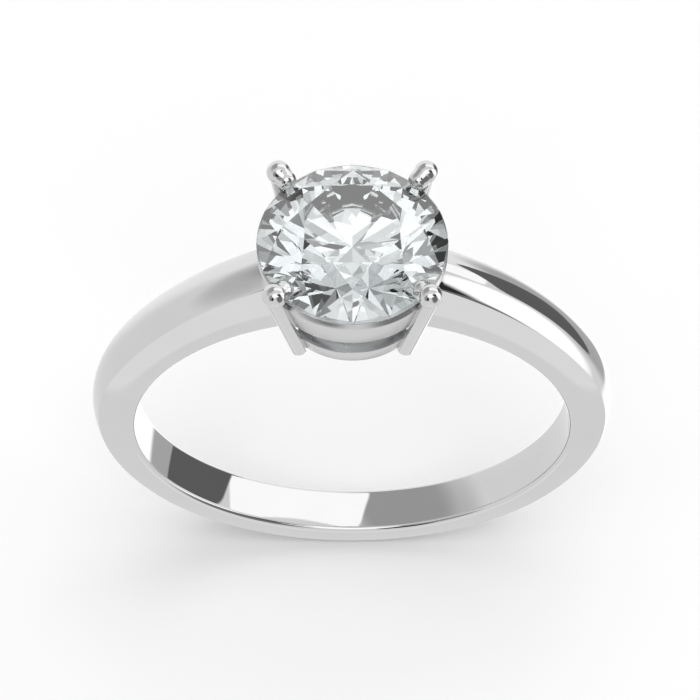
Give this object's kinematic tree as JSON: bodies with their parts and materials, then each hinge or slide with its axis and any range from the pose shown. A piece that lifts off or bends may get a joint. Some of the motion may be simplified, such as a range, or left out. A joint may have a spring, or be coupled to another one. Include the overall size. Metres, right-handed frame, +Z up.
{
  "type": "engagement ring",
  "caption": "Solitaire finger ring: a round brilliant stone held by bead-tipped claws on a tapered open basket, over a low-domed shank that swells into its shoulders.",
  "frame": {"origin": "centre of the finger hole, halfway across the width of the shank", "axes": "+Y along the finger axis; +Z up through the middle of the stone; +X to the right as seen from the -Y side"},
  "size_m": [0.0206, 0.0066, 0.0235],
  "materials": {
    "shank_metal": "mirror-polished white precious metal",
    "head_metal": "polished white precious metal",
    "claw_metal": "polished white precious metal",
    "stone": "colourless faceted round brilliant, polished"
  },
  "bodies": {
    "root": {"shank": "shank_metal", "lower_rail": "head_metal", "upper_rail": "head_metal", "claw_front_left": "claw_metal", "claw_front_right": "claw_metal", "claw_back_left": "claw_metal", "claw_back_right": "claw_metal", "diamond": "stone"}
  },
  "joints": []
}
